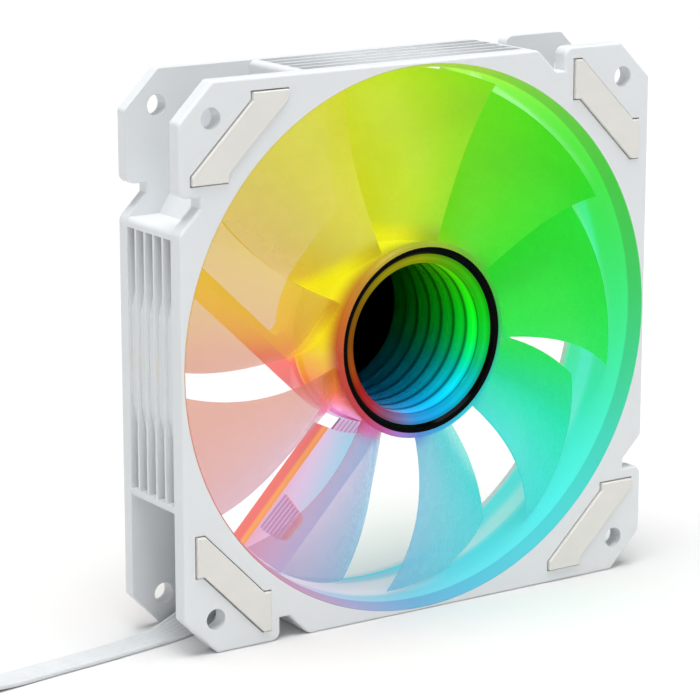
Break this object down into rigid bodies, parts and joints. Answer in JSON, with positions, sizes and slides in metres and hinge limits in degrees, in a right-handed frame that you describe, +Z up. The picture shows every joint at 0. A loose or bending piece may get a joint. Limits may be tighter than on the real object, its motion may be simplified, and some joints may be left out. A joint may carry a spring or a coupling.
{
  "type": "case fan",
  "caption": "Square axial cooling fan for a computer case, with a lit infinity mirror in its hub, a translucent impeller and a flat ribbon cable.",
  "frame": {"origin": "middle of the bottom edge of the square frame, halfway between its front and rear faces, the free cable aside", "axes": "+X to the right seen from the mirror side, +Y from the mirror side to the strut side along the fan axis, +Z up"},
  "size_m": [0.2967, 0.0499, 0.12],
  "materials": {
    "frame_plastic": "fine satin moulding",
    "rear_disc_foil": "bare satin film",
    "pad_rubber": "soft matte rubber",
    "winding_copper": "enamelled copper wire",
    "bearing_brass": "turned brass",
    "sleeve_bronze": "sintered bronze",
    "seal_plastic": "natural nylon",
    "shaft_steel": "ground steel",
    "core_steel": "stacked laminations",
    "insulator_plastic": "plain nylon",
    "board_laminate": "white solder mask",
    "light_chip": "lit chip",
    "chip_black": "moulded package",
    "small_ceramic": "ceramic",
    "solder": "bright solder",
    "ribbon_jacket": "smooth ridged jacket",
    "impeller_plastic": "translucent opal, lit from inside",
    "yoke_steel": "drawn steel",
    "magnet_ferrite": "moulded ferrite",
    "bezel_black": "polished black",
    "window_glass": "half mirror coating",
    "diffuser_plastic": "lit diffuser",
    "mirror_silver": "silvered",
    "tie_strap": "woven hook tape",
    "sleeve_shrink": "heat shrink",
    "plug_plastic": "plain moulding"
  },
  "bodies": {
    "housing": {"bearing_sleeve": "sleeve_bronze", "bearing_tube": "bearing_brass", "channel_ribbon": "ribbon_jacket", "circuit_board": "board_laminate", "coil_1": "winding_copper", "coil_2": "winding_copper", "coil_3": "winding_copper", "coil_4": "winding_copper", "driver_chip": "chip_black", "frame": "frame_plastic", "front_pad_bottom_left": "pad_rubber", "front_pad_bottom_right": "pad_rubber", "front_pad_top_left": "pad_rubber", "front_pad_top_right": "pad_rubber", "hall_sensor": "chip_black", "hank_tie": "tie_strap", "insulator_front": "insulator_plastic", "insulator_rear": "insulator_plastic", "light_chips": "light_chip", "light_lead": "ribbon_jacket", "light_plug": "plug_plastic", "motor_lead": "ribbon_jacket", "motor_plug": "plug_plastic", "oil_seal": "seal_plastic", "rear_disc": "rear_disc_foil", "rear_pad_bottom_left": "pad_rubber", "rear_pad_bottom_right": "pad_rubber", "rear_pad_top_left": "pad_rubber", "rear_pad_top_right": "pad_rubber", "retaining_clip": "seal_plastic", "ribbon_cable": "ribbon_jacket", "ribbon_hank": "ribbon_jacket", "small_parts": "small_ceramic", "solder_joints": "solder", "split_sleeve": "sleeve_shrink", "stator_core": "core_steel", "thrust_plate": "seal_plastic"},
    "rotor": {"impeller": "impeller_plastic", "rotor_yoke": "yoke_steel", "ring_magnet": "magnet_ferrite", "shaft": "shaft_steel", "shaft_boss": "bearing_brass", "bezel_ring": "bezel_black", "half_mirror_window": "window_glass", "diffuser_ring": "diffuser_plastic", "rear_mirror": "mirror_silver"}
  },
  "joints": [
    {"name": "rotor_spin", "type": "hinge", "parent": "housing", "child": "rotor", "pos_m": [0, 0, 0.06], "axis": [0, 1, 0], "continuous": true}
  ]
}
